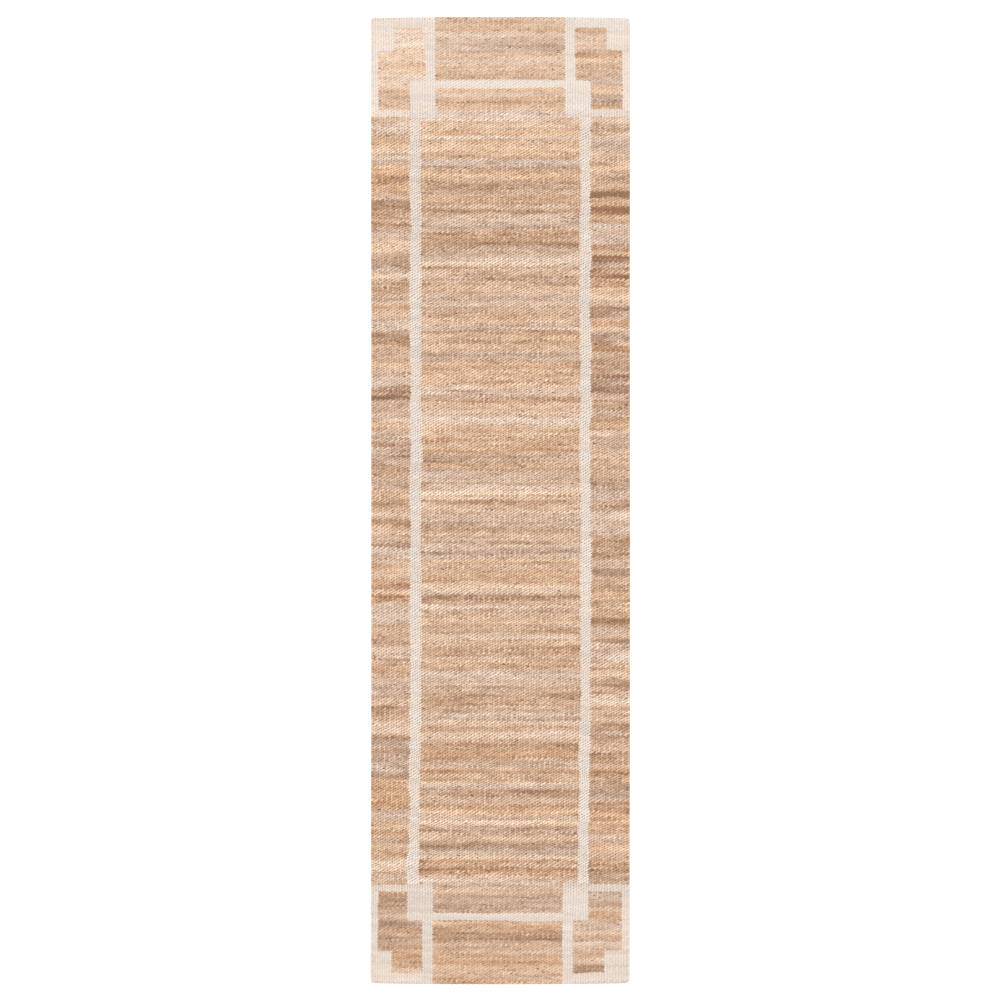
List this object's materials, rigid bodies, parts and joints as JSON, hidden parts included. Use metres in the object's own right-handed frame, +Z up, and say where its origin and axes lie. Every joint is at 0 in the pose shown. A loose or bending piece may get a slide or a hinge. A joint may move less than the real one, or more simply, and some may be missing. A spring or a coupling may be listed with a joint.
{
  "type": "runner rug",
  "caption": "Long rectangular flat-woven jute runner rug with an ivory interlocking frame and stepped corner figures, selvedged sides and turned-under, sewn ends.",
  "frame": {"origin": "middle of the underside, on the plane the rug lies on", "axes": "+X across the width, +Y along the length, +Z up through the thickness to the face side"},
  "size_m": [0.804, 3, 0.006],
  "materials": {
    "jute_weft": "coarse hand-spun jute weft, striped in tan, orange-tan, taupe and cream, matt",
    "ivory_weft": "undyed ivory weft, matt",
    "warp_yarn": "tight natural cotton warp, hidden inside the weave",
    "hem_weave": "plain jute web turned under and pressed flat",
    "hem_thread": "waxed brown sewing thread"
  },
  "bodies": {
    "root": {"centre_field_1": "jute_weft", "centre_field_2": "jute_weft", "centre_field_3": "jute_weft", "centre_field_4": "jute_weft", "centre_field_5": "jute_weft", "centre_field_6": "jute_weft", "centre_field_7": "jute_weft", "end_panel_near": "jute_weft", "end_panel_far": "jute_weft", "corner_panel_near_left": "jute_weft", "corner_panel_near_right": "jute_weft", "corner_panel_far_left": "jute_weft", "corner_panel_far_right": "jute_weft", "side_border_near_left": "jute_weft", "side_border_near_right": "jute_weft", "side_border_far_left": "jute_weft", "side_border_far_right": "jute_weft", "long_stripe_left": "ivory_weft", "long_stripe_right": "ivory_weft", "frame_line_near": "ivory_weft", "frame_line_far": "ivory_weft", "corner_figure_near_left": "ivory_weft", "corner_figure_near_right": "ivory_weft", "corner_figure_far_left": "ivory_weft", "corner_figure_far_right": "ivory_weft", "frame_block_near_left": "ivory_weft", "frame_block_near_right": "ivory_weft", "frame_block_far_left": "ivory_weft", "frame_block_far_right": "ivory_weft", "warp_group_01": "warp_yarn", "warp_group_02": "warp_yarn", "warp_group_03": "warp_yarn", "warp_group_04": "warp_yarn", "warp_group_05": "warp_yarn", "warp_group_06": "warp_yarn", "warp_group_07": "warp_yarn", "warp_group_08": "warp_yarn", "warp_group_09": "warp_yarn", "warp_group_10": "warp_yarn", "warp_group_11": "warp_yarn", "warp_group_12": "warp_yarn", "warp_group_13": "warp_yarn", "warp_group_14": "warp_yarn", "warp_group_15": "warp_yarn", "warp_group_16": "warp_yarn", "warp_group_17": "warp_yarn", "selvedge_cord_left": "warp_yarn", "selvedge_cord_right": "warp_yarn", "hem_near": "hem_weave", "hem_far": "hem_weave", "hem_thread_near": "hem_thread", "hem_thread_far": "hem_thread"}
  },
  "joints": []
}
